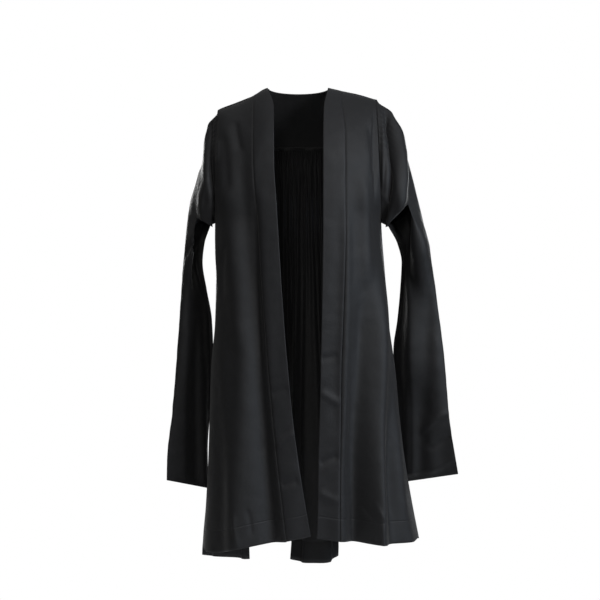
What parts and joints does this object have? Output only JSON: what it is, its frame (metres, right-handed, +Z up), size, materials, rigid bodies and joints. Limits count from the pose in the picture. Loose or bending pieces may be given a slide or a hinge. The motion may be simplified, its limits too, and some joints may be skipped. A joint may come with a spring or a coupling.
{
  "type": "graduation gown",
  "caption": "Open-fronted master's graduation gown, worn form: gathered back hung from a yoke, front bands, long closed sleeves with an arm slit.",
  "frame": {"origin": "on the wearer's middle line between the two neck points, where the shoulders carry the gown", "axes": "+Z up, -Y the way the wearer faces, +X the wearer's left"},
  "size_m": [0.767, 0.3736, 1.2511],
  "materials": {
    "panel_cloth": "matt black woven polyester",
    "band_cloth": "matt black woven polyester, doubled"
  },
  "bodies": {
    "root": {"yoke": "panel_cloth", "back": "panel_cloth", "front_right": "panel_cloth", "front_left": "panel_cloth", "front_band_right": "band_cloth", "front_band_left": "band_cloth", "neck_band": "band_cloth", "sleeve_front_right": "panel_cloth", "sleeve_front_left": "panel_cloth", "sleeve_back_right": "panel_cloth", "sleeve_back_left": "panel_cloth"}
  },
  "joints": []
}
